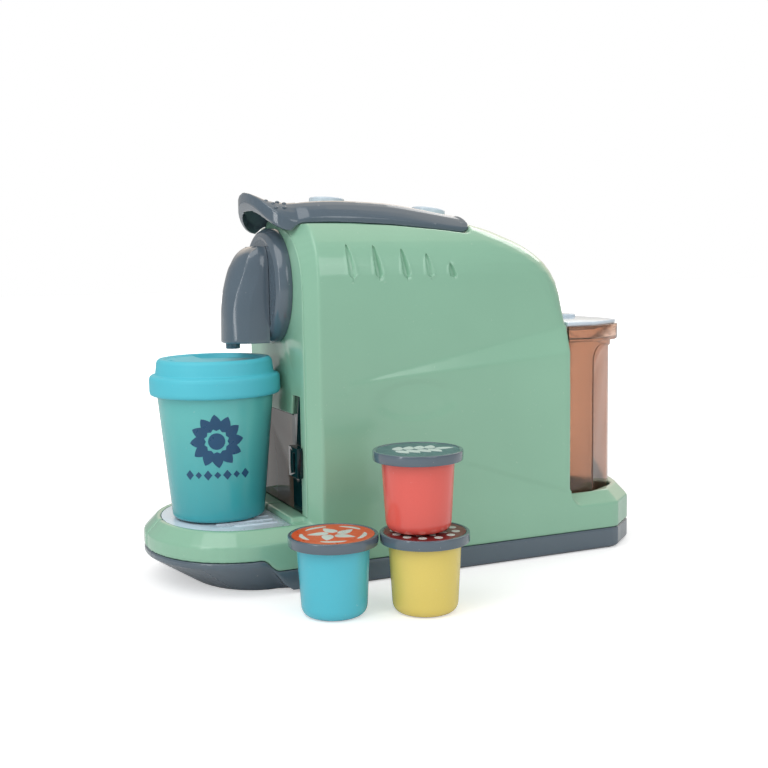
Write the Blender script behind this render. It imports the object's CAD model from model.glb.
"""Looks of the toy capsule coffee maker, its cup and its capsules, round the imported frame.

Everything is in metres in the frame's own axes: front towards -Y, up +Z.
Sizes written in millimetres are multiplied by MM on their way into a mesh.
"""

import math

import bmesh
import bpy
import numpy as np
from mathutils import Matrix, Vector


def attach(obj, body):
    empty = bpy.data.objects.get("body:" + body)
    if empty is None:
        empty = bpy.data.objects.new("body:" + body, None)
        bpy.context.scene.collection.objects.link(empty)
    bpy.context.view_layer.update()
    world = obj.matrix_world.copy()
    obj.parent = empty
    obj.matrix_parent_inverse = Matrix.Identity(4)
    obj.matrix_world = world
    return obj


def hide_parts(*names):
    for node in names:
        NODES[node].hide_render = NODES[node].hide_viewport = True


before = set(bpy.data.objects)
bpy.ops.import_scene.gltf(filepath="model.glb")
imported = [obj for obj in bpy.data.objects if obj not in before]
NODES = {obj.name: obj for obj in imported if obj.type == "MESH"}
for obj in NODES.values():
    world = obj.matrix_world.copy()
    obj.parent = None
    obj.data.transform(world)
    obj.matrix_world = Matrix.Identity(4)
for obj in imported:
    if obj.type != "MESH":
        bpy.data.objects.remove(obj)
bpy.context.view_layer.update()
MM = 0.001


# ---------- camera ----------

# The photograph's view, solved from its straight edges
CAMERA_AT = (0.578, -0.2585, 0.169)
CAMERA_TURN, CAMERA_PITCH, CAMERA_ROLL = (math.radians(a) for a in (66.0, 6.3, 0.86))
SENSOR_MM = 36.0
FOCAL_PX, PHOTO_PX = 1100.0, 768.0


def place_camera():
    """The photograph's view: 66 degrees round from the front, 6 degrees down."""
    turn, pitch, roll = CAMERA_TURN, CAMERA_PITCH, CAMERA_ROLL
    ahead = Vector((-math.sin(turn) * math.cos(pitch), math.cos(turn) * math.cos(pitch), -math.sin(pitch)))
    right = Vector((math.cos(turn), math.sin(turn), 0.0))
    up = right.cross(ahead)
    x = right * math.cos(roll) - up * math.sin(roll)
    y = right * math.sin(roll) + up * math.cos(roll)
    camera = bpy.data.objects.new("camera", bpy.data.cameras.new("camera"))
    camera.matrix_world = Matrix.Translation(CAMERA_AT) @ Matrix(
        (x, y, -ahead)).transposed().to_4x4()
    camera.data.sensor_width = SENSOR_MM
    camera.data.lens = SENSOR_MM * FOCAL_PX / PHOTO_PX
    camera.data.clip_start = 0.01
    bpy.context.scene.collection.objects.link(camera)
    bpy.context.scene.camera = camera


place_camera()
bpy.context.scene.view_settings.view_transform = "Standard"


# ---------- materials ----------

def linear(rgb):
    """sRGB 0-255 to the linear colour that a shader takes."""
    return tuple((c / 255 / 12.92 if c <= 10.3 else ((c / 255 + 0.055) / 1.055) ** 2.4) for c in rgb) + (1.0,)


class Tree:
    """Short calls for a material's nodes."""

    def __init__(self, name):
        self.material = bpy.data.materials.new(name)
        self.material.use_nodes = True
        self.nodes = self.material.node_tree.nodes
        self.links = self.material.node_tree.links
        self.shader = self.nodes["Principled BSDF"]
        self.place = self.nodes.new("ShaderNodeTexCoord").outputs["Object"]

    def add(self, kind, inputs=(), **settings):
        node = self.nodes.new(kind)
        for key, value in settings.items():
            setattr(node, key, value)
        for key, value in dict(inputs).items():
            if isinstance(value, bpy.types.NodeSocket):
                self.links.new(value, node.inputs[key])
            else:
                node.inputs[key].default_value = value
        return node

    def noise(self, scale, detail=3.0, stretch=None, roughness=0.5):
        at = self.place
        if stretch:
            at = self.add("ShaderNodeMapping", {"Vector": at, "Scale": stretch}).outputs["Vector"]
        return self.add("ShaderNodeTexNoise", {"Vector": at, "Scale": scale, "Detail": detail,
                                               "Roughness": roughness}).outputs["Fac"]

    def span(self, value, low, high, out_low, out_high):
        return self.add("ShaderNodeMapRange", {"Value": value, "From Min": low, "From Max": high,
                                               "To Min": out_low, "To Max": out_high}).outputs["Result"]

    def mix(self, share, a, b):
        node = self.add("ShaderNodeMix", {"Factor": share}, data_type="RGBA")
        for socket, value in ((node.inputs[6], a), (node.inputs[7], b)):
            if isinstance(value, bpy.types.NodeSocket):
                self.links.new(value, socket)
            else:
                socket.default_value = value
        return node.outputs[2]

    def math(self, kind, a, b):
        return self.add("ShaderNodeMath", {0: a, 1: b}, operation=kind).outputs[0]

    def into(self, socket, value):
        if isinstance(value, bpy.types.NodeSocket):
            self.links.new(value, self.shader.inputs[socket])
        else:
            self.shader.inputs[socket].default_value = value

    def bump(self, height, strength, distance):
        node = self.add("ShaderNodeBump", {"Height": height, "Strength": strength, "Distance": distance})
        self.into("Normal", node.outputs["Normal"])


def shade(rgb, share):
    """The colour made lighter (share above 1) or darker."""
    return tuple(min(1.0, c * share) for c in rgb[:3]) + (1.0,)


def plastic(name, rgb, rough=0.3, orange_peel=0.05, dust=0.16, wear=0.35, coat=0.0, through=0.0,
            scatter=0.0, sink=None):
    """Moulded plastic: slow colour drift, fine grain, dust specks, hairline scuffs and paler edges."""
    t = Tree(name)
    base = linear(rgb)
    drift = t.noise(14.0, 2.0)
    colour = t.mix(t.span(drift, 0.3, 0.7, 0.0, 1.0), shade(base, 0.955), shade(base, 1.035))
    grain = t.noise(1700.0, 2.0)
    colour = t.mix(t.span(grain, 0.35, 0.75, 0.0, 0.10), colour, shade(base, 0.8))
    specks = t.span(t.noise(620.0, 1.0), 0.76, 0.79, 0.0, dust)
    colour = t.mix(specks, colour, tuple(0.5 * c + 0.45 for c in base[:3]) + (1.0,))
    if sink:
        low, high, tint = sink
        height = t.add("ShaderNodeSeparateXYZ", {"Vector": t.place}).outputs["Z"]
        colour = t.mix(t.span(height, low, high, 1.0, 0.0), colour, linear(tint))
    point = t.add("ShaderNodeNewGeometry").outputs["Pointiness"]
    colour = t.mix(t.span(point, 0.53, 0.62, 0.0, wear), colour, tuple(0.75 * c + 0.2 for c in base[:3]) + (1.0,))
    t.into("Base Color", colour)
    scuffs = t.span(t.noise(60.0, 4.0, (1.0, 9.0, 3.0)), 0.62, 0.74, 0.0, 0.06)
    smear = t.span(t.noise(22.0, 5.0), 0.3, 0.75, rough - 0.03, rough + 0.04)
    t.into("Roughness", t.math("ADD", smear, scuffs))
    peel = t.noise(420.0, 2.0)
    fine = t.noise(2600.0, 1.0)
    t.bump(t.math("ADD", peel, t.math("MULTIPLY", fine, 0.35)), orange_peel, 0.0003)
    t.into("Coat Weight", coat)
    t.into("Coat Roughness", 0.08)
    t.into("Transmission Weight", through)
    t.into("Subsurface Weight", scatter)
    t.into("Subsurface Radius", (0.004, 0.004, 0.004))
    t.into("IOR", 1.49)
    return t.material


def metal(name, rgb, rough=0.3):
    """Brushed or turned metal with fine lines and slight tarnish."""
    t = Tree(name)
    base = linear(rgb)
    tarnish = t.span(t.noise(90.0, 4.0), 0.35, 0.7, 0.0, 0.5)
    t.into("Base Color", t.mix(tarnish, base, shade(base, 0.7)))
    lines = t.noise(900.0, 3.0, (1.0, 0.06, 1.0))
    t.into("Metallic", 1.0)
    t.into("Roughness", t.span(lines, 0.2, 0.8, rough - 0.08, rough + 0.15))
    t.bump(lines, 0.2, 0.00005)
    return t.material


def printed(name, rgb, rough=0.32):
    """Ink or paper print: slight unevenness and a faint screen grain."""
    t = Tree(name)
    base = linear(rgb)
    uneven = t.span(t.noise(120.0, 4.0), 0.3, 0.7, 0.0, 1.0)
    colour = t.mix(uneven, shade(base, 0.93), shade(base, 1.05))
    screen = t.span(t.noise(3500.0, 1.0), 0.4, 0.8, 0.0, 0.18)
    t.into("Base Color", t.mix(screen, colour, shade(base, 0.75)))
    t.into("Roughness", t.span(t.noise(300.0, 3.0), 0.3, 0.7, rough - 0.06, rough + 0.1))
    t.bump(t.noise(1500.0, 2.0), 0.1, 0.00005)
    return t.material


def clear(name, rgb, rough=0.06, through=1.0):
    """Smoky or tinted clear plastic with flow marks and a few scuffs."""
    t = Tree(name)
    base = linear(rgb)
    drift = t.span(t.noise(20.0, 2.0), 0.3, 0.7, 0.0, 1.0)
    colour = t.mix(drift, shade(base, 0.94), shade(base, 1.04))
    specks = t.span(t.noise(500.0, 1.0), 0.75, 0.8, 0.0, 0.3)
    t.into("Base Color", t.mix(specks, colour, shade(base, 1.25)))
    scuffs = t.span(t.noise(45.0, 5.0, (1.0, 1.0, 0.15)), 0.55, 0.75, 0.0, 0.12)
    t.into("Roughness", t.math("ADD", t.span(t.noise(25.0, 3.0), 0.3, 0.7, rough, rough + 0.05), scuffs))
    t.bump(t.noise(60.0, 2.0), 0.05, 0.0004)
    t.into("Transmission Weight", through)
    t.into("IOR", 1.45)
    return t.material


MATS = {
    "green_plastic": plastic("green_plastic", (144, 192, 165), 0.2, coat=0.4),
    "grey_plastic": plastic("grey_plastic", (88, 103, 115), 0.18, coat=0.6),
    "smoked_plastic": clear("smoked_plastic", (204, 168, 146), through=0.93),
    "white_plastic": plastic("white_plastic", (214, 228, 240), 0.26, coat=0.2),
    "steel": metal("steel", (190, 192, 196)),
    "cell_wrap": printed("cell_wrap", (176, 118, 52)),
    "hose_plastic": clear("hose_plastic", (225, 230, 228), 0.25, 0.7),
    "circuit_board": printed("circuit_board", (32, 98, 66), 0.4),
    "black_plastic": plastic("black_plastic", (38, 39, 42), 0.45),
    "lamp_plastic": clear("lamp_plastic", (235, 190, 90), 0.2, 0.6),
    "cup_plastic": plastic("cup_plastic", (98, 190, 188), 0.2, scatter=0.15, coat=0.3,
                           sink=(0.03, 0.09, (52, 160, 172))),
    "turquoise_plastic": plastic("turquoise_plastic", (84, 196, 214), 0.5),
    "cyan_plastic": plastic("cyan_plastic", (82, 194, 214), 0.2, scatter=0.05, coat=0.4),
    "yellow_plastic": plastic("yellow_plastic", (233, 210, 108), 0.2, scatter=0.05, coat=0.4),
    "red_plastic": plastic("red_plastic", (232, 98, 88), 0.2, scatter=0.05, coat=0.4),
    "orange_label": printed("orange_label", (226, 92, 44)),
    "maroon_label": printed("maroon_label", (118, 34, 36)),
    "teal_label": printed("teal_label", (82, 112, 118)),
}


def window_plastic():
    """The drawer's smoky plastic, with a dark teal strip down both sides of its front."""
    t = Tree("drawer_window")
    at = t.add("ShaderNodeSeparateXYZ", {"Vector": t.place}).outputs
    strip = t.span(t.math("ABSOLUTE", at["X"], 0.0), 0.0212, 0.0216, 0.0, 1.0)
    strip = t.math("MULTIPLY", strip, t.span(at["Y"], -0.0640, -0.0636, 1.0, 0.0))
    drift = t.span(t.noise(20.0, 2.0), 0.3, 0.7, 0.0, 1.0)
    middle = t.mix(drift, linear((86, 70, 60)), linear((96, 78, 68)))
    t.into("Base Color", t.mix(strip, middle, linear((8, 36, 40))))
    t.into("Roughness", t.span(t.noise(300.0, 3.0), 0.3, 0.7, 0.03, 0.09))
    t.bump(t.noise(60.0, 2.0), 0.04, 0.0003)
    t.into("Transmission Weight", 0.1)
    t.into("IOR", 1.42)
    return t.material


WINDOW = window_plastic()
LENS = plastic("dark_lens", (92, 66, 56), 0.12, coat=0.6, through=0.2)
LINE = plastic("line_plastic", (96, 62, 44), 0.15, coat=0.4)
NAVY = printed("navy_ink", (27, 78, 116))
PALE_INK = printed("pale_ink", (214, 226, 220))


# ---------- mesh helpers ----------

def piece(name, mesh, body, material, slot, *replaced):
    """A finished mesh as a piece of the object: it rides on a body and may stand for CAD nodes."""
    made = bpy.data.objects.new(name, mesh)
    bpy.context.scene.collection.objects.link(made)
    mesh.materials.clear()
    mesh.materials.append(material)
    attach(made, body)
    if replaced:
        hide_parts(*replaced)
    return made


def smooth_by_angle(mesh, degrees=32.0):
    mesh.shade_smooth()
    mesh.set_sharp_from_angle(angle=math.radians(degrees))


def evaluated(obj):
    """A copy of obj's mesh with its modifiers applied."""
    graph = bpy.context.evaluated_depsgraph_get()
    graph.update()
    return bpy.data.meshes.new_from_object(obj.evaluated_get(graph))


def soften(node, voxel, rounds, share=0.35, change=None, finer=None):
    """The CAD node's form with moulded, rounded edges: remeshed finely, relaxed and thinned out."""
    source = bpy.data.objects.new("soften_source", NODES[node].data.copy())
    bpy.context.scene.collection.objects.link(source)
    cleaner = bmesh.new()
    cleaner.from_mesh(source.data)
    bmesh.ops.remove_doubles(cleaner, verts=cleaner.verts, dist=1e-6)
    cleaner.to_mesh(source.data)
    cleaner.free()
    remesh = source.modifiers.new("remesh", "REMESH")
    remesh.mode = "VOXEL"
    remesh.voxel_size = voxel * MM
    relax = source.modifiers.new("relax", "SMOOTH")
    relax.factor = 0.5
    relax.iterations = rounds
    mesh = evaluated(source)
    source.modifiers.clear()
    if finer:
        mesh = subdivided(mesh, finer)
    if change:
        points = np.empty(len(mesh.vertices) * 3, np.float32)
        mesh.vertices.foreach_get("co", points)
        points = change(points.reshape(-1, 3) / MM) * MM
        mesh.vertices.foreach_set("co", points.astype(np.float32).ravel())
    if share < 1:
        source.data = mesh
        thin = source.modifiers.new("thin", "DECIMATE")
        thin.ratio = share
        mesh = evaluated(source)
    bpy.data.objects.remove(source)
    mesh.shade_smooth()
    return mesh


def subdivided(mesh, inside):
    """The mesh with its faces halved twice where inside(x, y, z in millimetres) holds."""
    for _ in range(2):
        work = bmesh.new()
        work.from_mesh(mesh)
        near = [f for f in work.faces if inside(*(f.calc_center_median() / MM))]
        edges = list({e for f in near for e in f.edges})
        bmesh.ops.subdivide_edges(work, edges=edges, cuts=1, use_grid_fill=True)
        work.to_mesh(mesh)
        work.free()
    return mesh


def filleted(points, radius, steps=4):
    """An open outline with each inner corner rounded."""
    out = [points[0]]
    for before, at, after in zip(points, points[1:], points[2:]):
        b, p, a = (np.array(v, float) for v in (before, at, after))
        r = at[2] if len(at) > 2 else radius
        b, p, a = b[:2], p[:2], a[:2]
        room = min(np.linalg.norm(b - p), np.linalg.norm(a - p)) * 0.48
        cut = min(r, room)
        start, end = p + (b - p) / np.linalg.norm(b - p) * cut, p + (a - p) / np.linalg.norm(a - p) * cut
        for k in range(steps + 1):
            t = k / steps
            out.append(tuple((1 - t) ** 2 * start + 2 * t * (1 - t) * p + t * t * end))
    out.append(points[-1])
    return [tuple(p[:2]) for p in out]


def lathe(name, outline, at=(0, 0, 0), turn=None, sides=128):
    """A mesh turned about an upright axis from an outline of (radius, height) in millimetres."""
    mesh = bmesh.new()
    rings = []
    for r, z in outline:
        if r < 1e-4:
            rings.append([mesh.verts.new((0, 0, z * MM))])
        else:
            rings.append([mesh.verts.new((r * math.cos(a) * MM, r * math.sin(a) * MM, z * MM))
                          for a in (2 * math.pi * k / sides for k in range(sides))])
    for low, high in zip(rings, rings[1:]):
        for k in range(sides):
            j = (k + 1) % sides
            corners = [low[k % len(low)], low[j % len(low)], high[j % len(high)], high[k % len(high)]]
            corners = list(dict.fromkeys(corners))
            if len(corners) > 2:
                mesh.faces.new(corners)
    bmesh.ops.recalc_face_normals(mesh, faces=mesh.faces)
    place = Matrix.Translation(Vector(at) * MM) @ (turn or Matrix.Identity(4))
    bmesh.ops.transform(mesh, matrix=place, verts=mesh.verts)
    out = bpy.data.meshes.new(name)
    mesh.to_mesh(out)
    mesh.free()
    smooth_by_angle(out, 40)
    return out


def dress(node, width=0.35, segments=3, degrees=30.0, dissolve=1.0):
    """A CAD node that keeps its shape: joined facets, slightly rounded edges and smooth shading."""
    obj = NODES[node]
    obj.data.shade_smooth()
    weld = obj.modifiers.new("weld", "WELD")
    weld.merge_threshold = 1e-6
    if dissolve:
        flat = obj.modifiers.new("flat", "DECIMATE")
        flat.decimate_type = "DISSOLVE"
        flat.angle_limit = math.radians(dissolve)
    edge = obj.modifiers.new("edge", "BEVEL")
    edge.width = width * MM
    edge.segments = segments
    edge.limit_method = "ANGLE"
    edge.angle_limit = math.radians(degrees)
    edge.harden_normals = True
    return obj


# ---------- curves ----------

def curve(x, points):
    """A smooth rise through points of (x, value) that never overshoots them."""
    xs = np.array([p[0] for p in points], float)
    ys = np.array([p[1] for p in points], float)
    step = np.diff(ys) / np.diff(xs)
    slope = np.zeros(len(xs))
    slope[0], slope[-1] = step[0], step[-1]
    for k in range(1, len(xs) - 1):
        if step[k - 1] * step[k] > 0:
            slope[k] = 2 * step[k - 1] * step[k] / (step[k - 1] + step[k])
    k = int(np.clip(np.searchsorted(xs, x, side="right") - 1, 0, len(xs) - 2))
    h = xs[k + 1] - xs[k]
    t = min(1.0, max(0.0, (x - xs[k]) / h))
    return float((1 + 2 * t) * (1 - t) ** 2 * ys[k] + t * (1 - t) ** 2 * h * slope[k]
                 + t * t * (3 - 2 * t) * ys[k + 1] + t * t * (t - 1) * h * slope[k + 1])


def ease(t):
    t = np.clip(t, 0, 1)
    return t * t * (3 - 2 * t)


def loft(name, rings, caps=(True, True), angle=30.0, closed=True):
    """A skin through rings of equal length, each a list of points in millimetres."""
    mesh = bmesh.new()
    made = [[mesh.verts.new(Vector(p) * MM) for p in ring] for ring in rings]
    count = len(rings[0])
    for low, high in zip(made, made[1:]):
        for k in range(count if closed else count - 1):
            j = (k + 1) % count
            mesh.faces.new((low[k], low[j], high[j], high[k]))
    if caps[0]:
        mesh.faces.new(made[0][::-1])
    if caps[1]:
        mesh.faces.new(made[-1])
    bmesh.ops.recalc_face_normals(mesh, faces=mesh.faces)
    out = bpy.data.meshes.new(name)
    mesh.to_mesh(out)
    mesh.free()
    smooth_by_angle(out, angle)
    return out


# ---------- cup ----------

CUP_AT = (2.5, -101.9, 0.0)
CUP_Z = 34.3


def cup():
    wall = [(0, 1.2), (21.6, 1.2), (22, 0.2, 0.3), (23.6, 0, 0.8), (24.9, 1.2, 1.2), (25.15, 5.0, 0.5),
            (31.3, 69.7, 0.3), (29.6, 69.7, 0.3), (23.3, 5.2, 2.5), (21.8, 3.2), (0, 3.2)]
    body = lathe("cup_body_piece", [(r, z + CUP_Z) for r, z in filleted(wall, 0.4)], CUP_AT)
    piece("cup_body_piece", body, "cup", MATS["cup_plastic"], "cup_plastic", "cup_body")
    lid = soften("cup_lid", 0.45, 5, 0.4)
    piece("cup_lid_piece", lid, "cup", MATS["turquoise_plastic"], "turquoise_plastic", "cup_lid")


cup()


# ---------- capsules ----------

POD_LID_R = 22.0
POD_H = 39.6
POD_GAP = 0.3
PODS = (("cyan", (93.4, -70.8, 0.0), "cyan_plastic"),
        ("yellow", (108.2, -28.9, 0.0), "yellow_plastic"),
        ("red", (106.2, -31.1, POD_H + POD_GAP), "red_plastic"))


def capsules():
    r, top, low = POD_LID_R - 4, POD_H - 2.6, 15.9
    cup_line = filleted([(0, 0), (low, 0, 5.2), (r, top, 0.2), (r - 1.3, top, 0.2), (low - 1.2, 1.4, 4.0),
                         (0, 1.4)], 0.4, 8)
    r = POD_LID_R
    lid_line = filleted([(0, 3), (r - 6.5, 3), (r - 6.3, 0.6), (r - 5.5, 0.6), (r - 5.35, 2.4), (r - 2.2, 2.4),
                         (r - 2, 0), (r - 0.15, 0, 0.5), (r, 2.5, 0.3), (r - 0.05, 5, 0.7), (r - 1.5, 5, 0.45),
                         (r - 1.75, 4.55, 0.25), (0, 4.55)], 0.25)
    for name, at, cup_slot in PODS:
        body = name + "_pod"
        piece(body + "_cup_piece", lathe(body + "_cup_piece", cup_line, at), body, MATS[cup_slot], cup_slot,
              body + "_cup")
        rim = [(x, z + POD_H - 5) for x, z in lid_line]
        piece(body + "_lid_piece", lathe(body + "_lid_piece", rim, at), body, MATS["grey_plastic"],
              "grey_plastic", body + "_lid")


capsules()


# ---------- nose ----------

NOSE_FRONT = [(127, -96.1), (133, -95.9), (146, -95.4), (153.5, -94.7), (160, -93.4), (163.6, -92.4),
              (167, -91.2), (170, -89.8), (172.2, -88.5), (174.2, -87.0), (176, -85.2), (177.4, -83.3),
              (178.2, -81.6), (178.7, -79.5)]
CREASE_X = [(127, 8.6), (144, 9.4), (161, 10.4), (168, 11.0), (176, 11.0), (178.7, 9.4)]
CREASE_Y = [(127, -94.6), (144, -93.9), (153, -92.0), (161, -88.9), (168.3, -86.2), (174, -84.0), (178.7, -78.5)]
NOSE_WIDE = [(127, 15.5), (160, 15.5), (166, 15.35), (170, 15.0), (173, 14.2), (175.5, 13.2), (177.3, 12.0),
             (178.2, 11.0), (178.7, 9.8)]
BEAK_Z, BEAK_FALL, BEAK_STEP = 170.2, 0.55, 0.45


def nose():
    rings = []
    levels = [127, 127.25, 127.8] + [129 + 1.6 * k for k in range(28)]
    levels += [173.4, 174.6, 175.6, 176.4, 177.1, 177.7, 178.2, 178.5, 178.7]
    for z in levels:
        edge = 0.5 if z == 127 else 0.15 if z == 127.25 else 0.0
        wide = curve(z, NOSE_WIDE) - edge
        front, cx, cy = curve(z, NOSE_FRONT) + edge, curve(z, CREASE_X), curve(z, CREASE_Y) + edge
        half = []
        for s in (0, 0.25, 0.5, 0.75, 0.93, 1.0):
            bow = front + (cy - front) * s ** 2.6
            half.append([cx * s, bow])
        side = [(0.03, 0.10), (0.12, 0.22), (0.28, 0.42), (0.48, 0.62), (0.7, 0.8), (0.9, 0.93), (1.0, 1.0)]
        shoulder_y = min(-79.0, cy + 9.0)
        for along, out in side:
            half.append([cx + (wide - cx) * out, cy + (shoulder_y - cy) * along])
        half.append([wide, -76.5])
        half.append([wide, -74.5])
        for p in half:
            above = (z - (BEAK_Z - BEAK_FALL * p[0])) / 1.6
            if p[0] <= cx + 0.01:
                p[1] += BEAK_STEP * float(ease(above)) * (1 - p[0] / cx * 0.7)
        rings.append([(x, y, z) for x, y in half] + [(-x, y, z) for x, y in half[:0:-1]])
    mesh = loft("nose_cover_piece", rings, angle=38)
    piece("nose_cover_piece", mesh, "machine", MATS["grey_plastic"], "grey_plastic", "nose_cover")

    forward = Matrix.Rotation(math.radians(90), 4, "X")
    plate = filleted([(0, 0), (31.5, 0, 0.3), (31.5, 3.6, 2.2), (29.6, 7.1, 1.6), (27.2, 8.0, 0.5),
                      (25.4, 7.7, 0.6), (0, 7.7)], 0.5, 6)
    mesh = lathe("nose_plate_piece", plate, (0, -66.55, 157), forward, 160)
    piece("nose_plate_piece", mesh, "machine", MATS["grey_plastic"], "grey_plastic", "nose_plate")
    tube = filleted([(1.2, 133), (1.2, 123.8, 0.2), (3.85, 123.8, 0.5), (4.0, 129.1, 0.1), (4, 137.8, 0.2),
                     (2.25, 137.8), (2.25, 133), (1.2, 133)], 0.2)
    mesh = lathe("spout_nozzle_piece", tube, (0, -90.6, 0), sides=48)
    piece("spout_nozzle_piece", mesh, "machine", MATS["grey_plastic"], "grey_plastic", "spout_nozzle")


nose()


# ---------- buttons ----------

BUTTONS = (("front_button", -34.8, 3.0, 9.4), ("rear_button", 27.6, 8.0, 7.2))
CROWN_CURVE = ((10, 195.3), (44.7, 190.5), (91.6, 185.1), (92.2, 142.0))


def ridge_z(y):
    """Height of the crown's middle line."""
    if y <= 10:
        return 196.0 - 0.7 * min(1.0, max(0.0, (y + 35) / 45))
    low, high = 0.0, 1.0
    for _ in range(18):
        t = (low + high) / 2
        at = [(1 - t) ** 3 * a + 3 * (1 - t) ** 2 * t * b + 3 * (1 - t) * t * t * c + t ** 3 * d
              for a, b, c, d in zip(*CROWN_CURVE)]
        low, high = (t, high) if at[0] < y else (low, t)
    return at[1]


def buttons():
    for name, y, tilt, high in BUTTONS:
        r = 9.8
        line = filleted([(0, -17), (3, -17), (3, high - 1.8), (r - 1.6, high - 1.8, 0.6), (r - 1.6, -5.2),
                         (r + 1.6, -5.2), (r + 1.6, -3.9), (r, -3.9), (r, high - 0.2, 1.5), (r - 2.6, high, 0.5),
                         (0, high - 0.35)], 0.2, 5)
        lean = Matrix.Rotation(math.radians(-tilt), 4, "X")
        mesh = lathe(name + "_piece", line, (0, y, ridge_z(y)), lean, 96)
        piece(name + "_piece", mesh, name, MATS["white_plastic"], "white_plastic", name)


buttons()


# ---------- softened housing pieces ----------

FLUTE_Y = (-41.3, -26.1, -10.1, 4.1, 18.0)
FLUTE_TOP = (178.5, 178.0, 176.0, 173.5, 168.0)
FLUTE_FOOT = 160.6
FLUTE_HALF_W, FLUTE_DEPTH, FLUTE_LIP, FLUTE_LEAN = 2.1, 1.25, 0.16, 2.0


def flute_depth(y, z):
    """How far the five drop-shaped flutes sink in, with a slight lip round each."""
    depth = np.zeros_like(y)
    for at, top in zip(FLUTE_Y, FLUTE_TOP):
        rise = (z - FLUTE_FOOT) / (top - FLUTE_FOOT)
        along = np.clip(rise, 0.0, 1.0)
        half = FLUTE_HALF_W * np.sqrt(np.clip(1 - along ** 1.5, 0, 1))
        half = half * ease(np.clip(rise, 0, 1) * 6 + 0.12) + 0.05
        middle = at - FLUTE_LEAN * along
        out = np.hypot((y - middle) / half, np.maximum(0, np.maximum(-rise, rise - 1)) * 9)
        depth += FLUTE_DEPTH * (1 - ease((out - 0.35) / 0.75))
        lip = ease((out - 0.9) / 0.3) * (1 - ease((out - 1.3) / 0.9))
        depth -= FLUTE_LIP * lip * (rise > -0.12) * (rise < 1.02)
    return depth


DISH_AT, DISH_HALF, DISH_DEPTH = (-6, 96), (25, 11), 0.55
CREASE_DEPTH = 0.5


def side_relief(points):
    """A shallow oval dish, flutes and a faint crease on each flank."""
    x, y, z = points.T
    flank = ease((np.abs(x) - 51.0) / 2.0)
    dish = np.sqrt(((y - DISH_AT[0]) / DISH_HALF[0]) ** 2 + ((z - DISH_AT[1]) / DISH_HALF[1]) ** 2)
    depth = DISH_DEPTH * (1 - ease((dish - 0.72) / 0.36))
    line = 60 + (38 - 60) * (y - 22) / 64.5
    crease = CREASE_DEPTH * ease((line - z + 2.0) / 4.0)
    crease *= ease((y - 5) / 30.0) * ease((z - 24) / 16.0) * ease((95 - y) / 8.0)
    moved = points.copy()
    high = (np.abs(x) > 40) & (z > 150) & (z < 186) & (y > -52) & (y < 30)
    sunk = np.where(high, flute_depth(y, z), 0.0)
    moved[:, 0] -= np.sign(x) * (flank * (depth + crease) + sunk)
    return moved


def near_flutes(x, y, z):
    """Whether a point is close enough to a flute to need finer faces."""
    return abs(x) > 46 and 157 < z < 181 and any(abs(y - at + 1) < 4.5 for at in FLUTE_Y)


DOT_R, DOT_FLAT = 1.25, 0.62
LEVER_DOTS = [(side * x, y, z) for side in (1, -1) for x, y, z in (
    (19.6, -76.2, 202.1), (23.1, -73.4, 200.6), (21.4, -70.6, 201.3), (23.8, -67.6, 200.5), (26.2, -72.9, 198.4),
    (27.1, -68.6, 198.4), (14.0, -74.4, 202.3), (5.0, -74.4, 202.4))]


def raised_dots():
    """Grip dots on the slope of the lever's loop."""
    work = bmesh.new()
    for x, y, z in LEVER_DOTS:
        dome = bmesh.ops.create_uvsphere(work, u_segments=20, v_segments=12, radius=DOT_R * MM)
        bmesh.ops.scale(work, vec=(1, 1, DOT_FLAT), verts=dome["verts"])
        bmesh.ops.translate(work, vec=Vector((x, y, z)) * MM, verts=dome["verts"])
    mesh = bpy.data.meshes.new("lever_dots")
    work.to_mesh(mesh)
    work.free()
    mesh.shade_smooth()
    return mesh


# Metres: how far the panel's rim reaches out, where its rim begins, and the centre height of its arch
PANEL_REACH, PANEL_RIM_X, PANEL_ARCH_Z, PANEL_ARCH_R = 0.0011, 0.0405, 0.150, 0.030


def panel():
    """The front panel, its rim reaching into the rounded edge of the shells."""
    mesh = evaluated(dress("front_panel", 0.6))
    NODES["front_panel"].modifiers.clear()
    points = np.empty(len(mesh.vertices) * 3, np.float32)
    mesh.vertices.foreach_get("co", points)
    points = points.reshape(-1, 3)
    rim = np.abs(points[:, 0]) > PANEL_RIM_X
    top = points[:, 2] > PANEL_ARCH_Z
    centre = np.array([0.0, PANEL_ARCH_Z], np.float32)
    away = points[:, (0, 2)] - centre
    points[:, 0] += np.where(rim & ~top, np.sign(points[:, 0]) * PANEL_REACH, 0.0)
    grow = 1 + PANEL_REACH / np.maximum(np.hypot(away[:, 0], away[:, 1]), 1e-4)
    outer = top & (np.hypot(away[:, 0], away[:, 1]) > PANEL_ARCH_R)
    points[:, 0] = np.where(outer, away[:, 0] * grow, points[:, 0])
    points[:, 2] = np.where(outer, PANEL_ARCH_Z + away[:, 1] * grow, points[:, 2])
    mesh.vertices.foreach_set("co", points.ravel())
    piece("front_panel_piece", mesh, "machine", MATS["green_plastic"], "green_plastic", "front_panel")


LENS_MID_Y, LENS_HALF, LENS_RISE = 63, (14.0, 17.5), 1.3


def lens():
    """The smoky lens in the crown, slightly domed."""
    def dome(points):
        x, y, z = points.T
        moved = points.copy()
        bulge = (1 - (x / LENS_HALF[0]) ** 2) * np.clip(1 - ((y - LENS_MID_Y) / LENS_HALF[1]) ** 2, 0, 1)
        moved[:, 2] += LENS_RISE * np.clip(bulge, 0, 1) * (z > 150)
        return moved
    mesh = soften("crown_lens", 0.4, 3, 0.4, dome)
    piece("crown_lens_piece", mesh, "machine", LENS, "smoked_plastic", "crown_lens")


TANK_LINE_Y, TANK_LINE_TOP, TANK_LINE_R = 112.4, 119.2, 9.5


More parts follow.
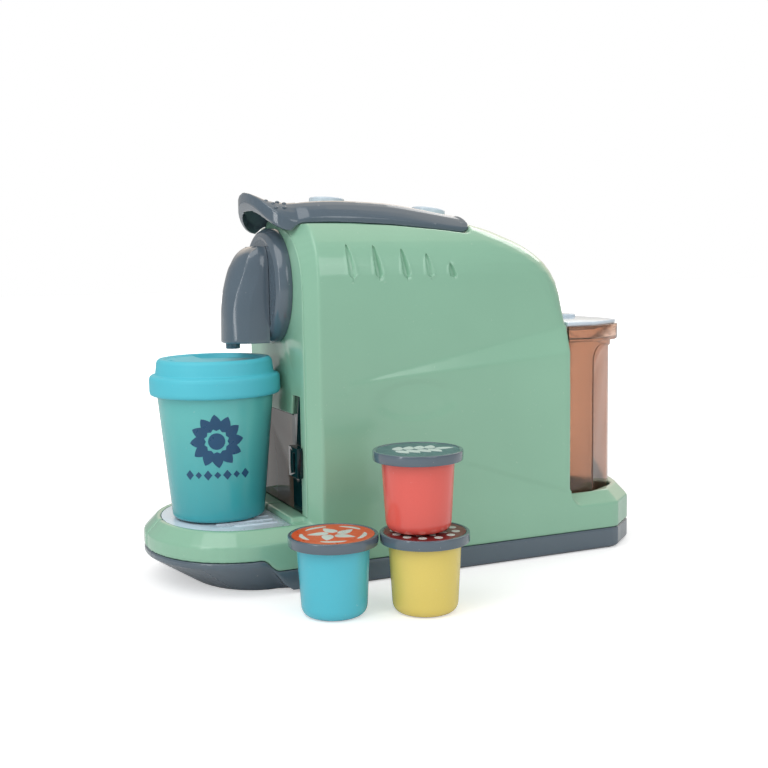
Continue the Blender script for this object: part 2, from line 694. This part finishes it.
TANK_HALF_W, TANK_CORNER_Y, TANK_CORNER_SLOPE = 45.5, 111.0, 10.5 / 19.0
TANK_LINE_FOOT, TANK_LINE_END = 35.0, 127.0


def tank_side_x(y):
    """Half width of the tank at a depth; its rear corners are cut back."""
    return TANK_HALF_W - max(0.0, y - TANK_CORNER_Y) * TANK_CORNER_SLOPE


def tank_line():
    """The dark edge line of the grip recess at each rear corner of the tank."""
    low = TANK_LINE_TOP - TANK_LINE_R
    path = [(TANK_LINE_Y, TANK_LINE_FOOT + (low - TANK_LINE_FOOT) * k / 12) for k in range(12)]
    path += [(TANK_LINE_Y + TANK_LINE_R * (1 - math.cos(a)), low + TANK_LINE_R * math.sin(a))
             for a in (math.radians(9 * k) for k in range(11))]
    path += [(124.0, TANK_LINE_TOP), (TANK_LINE_END, TANK_LINE_TOP)]
    for name, side in (("tank_line_right", 1), ("tank_line_left", -1)):
        rings = []
        for y, z in path:
            rings.append([(side * (tank_side_x(y) + 0.3 * math.cos(b)), y + 0.42 * math.sin(b), z)
                          for b in (math.pi / 3 * k for k in range(6))])
        piece(name, loft(name, rings), "tank", LINE, None)


def housing():
    for side in ("left", "right"):
        mesh = soften("shell_" + side, 0.8, 6, 0.35, side_relief, near_flutes)
        piece(f"shell_{side}_piece", mesh, "machine", MATS["green_plastic"], "green_plastic", "shell_" + side)
    mesh = soften("base_pan", 0.8, 3, 0.35)
    piece("base_pan_piece", mesh, "machine", MATS["grey_plastic"], "grey_plastic", "base_pan")
    mesh = soften("lever", 0.45, 4, 0.4)
    piece("lever_piece", mesh, "lever", MATS["grey_plastic"], "grey_plastic", "lever")
    piece("lever_dots_piece", raised_dots(), "lever", MATS["grey_plastic"], "grey_plastic")
    panel()
    lens()
    tank_line()


housing()


# ---------- printed motifs ----------

INK_HIGH = 0.10
INK_DEEP = 0.06


def ink(name, shapes, place, body, material, slot):
    """Thin closed patches of ink. Each shape is (centre, outline), seen from its centre.

    place(u, v, height) sets a point of the flat drawing on the surface that carries it.
    """
    mesh = bmesh.new()
    for centre, outline in shapes:
        sheets = []
        for height in (INK_HIGH, -INK_DEEP):
            rings = []
            for share in (0.3, 0.65, 1.0):
                rings.append([mesh.verts.new(place(centre[0] + (u - centre[0]) * share,
                                                   centre[1] + (v - centre[1]) * share, height))
                              for u, v in outline])
            hub = mesh.verts.new(place(centre[0], centre[1], height))
            sheets.append((hub, rings))
        count = len(outline)
        for hub, rings in sheets:
            for k in range(count):
                j = (k + 1) % count
                mesh.faces.new((hub, rings[0][k], rings[0][j]))
                for low, high in zip(rings, rings[1:]):
                    mesh.faces.new((low[k], high[k], high[j], low[j]))
        for k in range(count):
            j = (k + 1) % count
            mesh.faces.new((sheets[0][1][-1][k], sheets[1][1][-1][k], sheets[1][1][-1][j], sheets[0][1][-1][j]))
    bmesh.ops.recalc_face_normals(mesh, faces=mesh.faces)
    out = bpy.data.meshes.new(name)
    mesh.to_mesh(out)
    mesh.free()
    smooth_by_angle(out, 40)
    return piece(name, out, body, material, slot)


def circle(u, v, r, steps=28):
    return ((u, v), [(u + r * math.cos(2 * math.pi * k / steps), v + r * math.sin(2 * math.pi * k / steps))
                     for k in range(steps)])


def drop(u, v, start, end, width, angle, bend=0.0, steps=10):
    """A petal from start to end along angle, pointed outside; bend curls it sideways."""
    def at(along, side):
        s = (along - start) / (end - start)
        x, y = along, side + bend * s * s
        c, d = math.cos(angle), math.sin(angle)
        return (u + x * c - y * d, v + x * d + y * c)

    def half(s):
        return width / 2 * math.sin(math.pi * s ** 0.75) ** 0.8 if 0 < s < 1 else 0.0

    shares = [k / steps for k in range(steps + 1)]
    outline = [at(start + (end - start) * s, half(s)) for s in shares]
    outline += [at(start + (end - start) * s, -half(s)) for s in shares[-2:0:-1]]
    return (at((start * 0.55 + end * 0.45), 0), outline)


def band(u, v, r, width, start, stop, steps=26):
    """An arc as short overlapping pieces, so that each is seen whole from its centre."""
    out = []
    for k in range(steps):
        a, b = start + (stop - start) * k / steps, start + (stop - start) * (k + 1) / steps
        taper = [math.sin(math.pi * (0.06 + 0.94 * t)) ** 0.5 for t in (k / steps, (k + 1) / steps)]
        points = []
        for t, e, s in ((a, 0, -1), (a, 0, 1), (b, 1, 1), (b, 1, -1)):
            reach = r + s * width / 2 * taper[e]
            points.append((u + reach * math.cos(t), v + reach * math.sin(t)))
        out.append(((sum(p[0] for p in points) / 4, sum(p[1] for p in points) / 4), points))
    return out


def diamond(u, v, wide, high):
    steps = [(u + wide * x / 2, v + high * y / 2) for x, y in ((1, 0), (0.5, 0.5), (0, 1), (-0.5, 0.5), (-1, 0),
                                                              (-0.5, -0.5), (0, -1), (0.5, -0.5))]
    return ((u, v), steps)


CUP_PRINT_TURN = math.radians(-15.5)
CUP_PRINT_Z = 78.0


def cup_wall_r(z):
    return 25.15 + (31.3 - 25.15) * (z - CUP_Z - 5.0) / 64.7


def on_cup(u, v, height):
    z = CUP_PRINT_Z + v
    r = cup_wall_r(z)
    a = CUP_PRINT_TURN + u / r
    r += height
    return Vector((CUP_AT[0] + r * math.cos(a), CUP_AT[1] + r * math.sin(a), z)) * MM


def on_label(at, turn):
    top = at[2] + POD_H - 0.25

    def place(u, v, height):
        c, s = math.cos(turn), math.sin(turn)
        return Vector((at[0] + u * c - v * s, at[1] + u * s + v * c, top + height)) * MM
    return place


def motifs():
    flower = [drop(0, 0.5, 5.6, 14.2, 6.2, math.radians(30 * k), 0.9) for k in range(12)]
    flower += [circle(0, 0.5, 4.4)]
    row = [diamond(-15 + 5 * k, -17.5, 3.6 if k % 2 else 4.6, 3.8 if k % 2 else 5.4) for k in range(7)]
    ink("cup_print", flower + row, on_cup, "cup", NAVY, None)
    pinwheel = [drop(0, 0, 2.2, 12.0, 6.4, math.radians(72 * k), 3.6) for k in range(5)]
    for k in range(5):
        pinwheel += band(0, 0, 15.4, 2.4, math.radians(72 * k + 8), math.radians(72 * k + 56), 12)
    ink("cyan_pod_print", pinwheel, on_label(PODS[0][1], math.radians(20)), "cyan_pod", PALE_INK, None)
    beads = [circle(15.0 * math.cos(math.radians(30 * k)), 15.0 * math.sin(math.radians(30 * k)), 2.1, 16)
             for k in range(12)]
    beads += [drop(0, 0, 1.4, 11.4, 4.8, math.radians(45 * k)) for k in range(8)]
    ink("yellow_pod_print", beads, on_label(PODS[1][1], math.radians(0)), "yellow_pod", PALE_INK, None)
    sprig = [drop(-11.5 + 5.4 * k, 0, 0.8, 10.4, 5.4, math.radians(side * 56), side * 1.4)
             for k in range(4) for side in (1, -1)]
    sprig += [drop(8.0, 0, 0.5, 10.0, 5.0, 0.0)]
    ink("red_pod_print", sprig, on_label(PODS[2][1], math.radians(80)), "red_pod", PALE_INK, None)


motifs()


# ---------- CAD nodes that keep their shape ----------

for node_name, node_object in NODES.items():
    for used in node_object.material_slots:
        used.material = MATS[used.material.name.split(".")[0]]
for node_name in ("drip_tray", "pod_drawer", "water_tank", "tank_lid", "drawer_guide", "pod_chute",
                  "battery_door", "base_screws", "battery_door_screw"):
    dress(node_name)
for used in NODES["pod_drawer"].material_slots:
    used.material = WINDOW


# ---------- stage and light ----------

FLOOR_NEAR, FLOOR_FAR, FLOOR_GLOW = 0.28, 0.75, 0.45
AMBIENT = 0.62
FLOOR_HALF = 6.0
CEILING_AT, CEILING_GLOW = (-0.45, 0.42, 0.78), 1.35


def studio():
    floor_mesh = bpy.data.meshes.new("floor")
    half = FLOOR_HALF
    floor_mesh.from_pydata([(-half, -half, 0), (half, -half, 0), (half, half, 0), (-half, half, 0)], [],
                           [(0, 1, 2, 3)])
    floor = bpy.data.objects.new("floor", floor_mesh)
    bpy.context.scene.collection.objects.link(floor)
    t = Tree("floor")
    t.into("Base Color", t.mix(t.noise(30.0, 3.0), (0.80, 0.80, 0.80, 1), (0.83, 0.83, 0.83, 1)))
    t.into("Roughness", 0.8)
    path = t.add("ShaderNodeLightPath")
    seen = t.math("MAXIMUM", path.outputs["Is Camera Ray"], path.outputs["Is Transmission Ray"])
    away = t.add("ShaderNodeVectorMath", {0: t.place}, operation="LENGTH").outputs["Value"]
    level = t.span(away, FLOOR_NEAR, FLOOR_FAR, FLOOR_GLOW, 1.0)
    glow = t.add("ShaderNodeEmission", {"Color": (1, 1, 1, 1), "Strength": t.math("MULTIPLY", seen, level)})
    both = t.add("ShaderNodeAddShader", {0: t.shader.outputs[0], 1: glow.outputs[0]})
    t.links.new(both.outputs[0], t.nodes["Material Output"].inputs["Surface"])
    floor_mesh.materials.append(t.material)

    world = bpy.data.worlds.new("studio")
    world.use_nodes = True
    bpy.context.scene.world = world
    nodes, links = world.node_tree.nodes, world.node_tree.links
    back = nodes["Background"]
    path = nodes.new("ShaderNodeLightPath")
    seen = nodes.new("ShaderNodeMath")
    seen.operation = "MAXIMUM"
    links.new(path.outputs["Is Camera Ray"], seen.inputs[0])
    links.new(path.outputs["Is Transmission Ray"], seen.inputs[1])
    toward = nodes.new("ShaderNodeVectorMath")
    toward.operation = "DOT_PRODUCT"
    links.new(nodes.new("ShaderNodeTexCoord").outputs["Generated"], toward.inputs[0])
    toward.inputs[1].default_value = Vector(CEILING_AT).normalized()
    room = nodes.new("ShaderNodeValToRGB")
    stops = room.color_ramp.elements
    stops[0].position, stops[0].color = 0.0, (0.34, 0.36, 0.38, 1)
    stops[1].position, stops[1].color = 0.6, (0.40, 0.39, 0.38, 1)
    stops.new(0.72).color = (0.92, 0.80, 0.68, 1)
    stops.new(0.9).color = (0.86, 0.76, 0.66, 1)
    links.new(toward.outputs["Value"], room.inputs["Fac"])
    bright = nodes.new("ShaderNodeMapRange")
    bright.inputs["From Min"].default_value = 0.55
    bright.inputs["From Max"].default_value = 0.8
    bright.inputs["To Min"].default_value = 1.0
    bright.inputs["To Max"].default_value = CEILING_GLOW
    links.new(toward.outputs["Value"], bright.inputs["Value"])
    lit = nodes.new("ShaderNodeVectorMath")
    lit.operation = "SCALE"
    links.new(room.outputs["Color"], lit.inputs[0])
    links.new(bright.outputs[0], lit.inputs["Scale"])
    shiny = nodes.new("ShaderNodeMix")
    shiny.data_type = "RGBA"
    shiny.inputs[6].default_value = (AMBIENT, AMBIENT, AMBIENT, 1)
    links.new(path.outputs["Is Glossy Ray"], shiny.inputs[0])
    links.new(lit.outputs[0], shiny.inputs[7])
    shown = nodes.new("ShaderNodeMix")
    shown.data_type = "RGBA"
    shown.inputs[7].default_value = (1, 1, 1, 1)
    links.new(seen.outputs[0], shown.inputs[0])
    links.new(shiny.outputs[2], shown.inputs[6])
    links.new(shown.outputs[2], back.inputs["Color"])
    back.inputs["Strength"].default_value = 1.0

    for name, power, size, at, aim in (
            ("key", 5.4, 1.1, (0.35, -0.75, 1.15), (0.0, -0.02, 0.08)),
            ("side", 2.9, 0.8, (1.35, 0.25, 0.75), (0.0, 0.0, 0.1)),
            ("rear", 3.4, 0.9, (-0.7, 0.9, 1.0), (0.0, 0.05, 0.1))):
        lamp = bpy.data.lights.new(name, "AREA")
        lamp.shape = "DISK"
        lamp.size = size
        lamp.energy = power
        holder = bpy.data.objects.new(name, lamp)
        holder.location = at
        holder.rotation_euler = (Vector(aim) - Vector(at)).to_track_quat("-Z", "Y").to_euler()
        bpy.context.scene.collection.objects.link(holder)
    lamp = bpy.data.lights.new("strip", "AREA")
    lamp.shape = "RECTANGLE"
    lamp.size, lamp.size_y = 0.16, 1.3
    lamp.energy = 3.0
    holder = bpy.data.objects.new("strip", lamp)
    holder.location = (0.62, -1.40, 0.55)
    holder.rotation_euler = (Vector((0.0, -0.05, 0.12)) - holder.location).to_track_quat("-Z", "Y").to_euler()
    bpy.context.scene.collection.objects.link(holder)


studio()
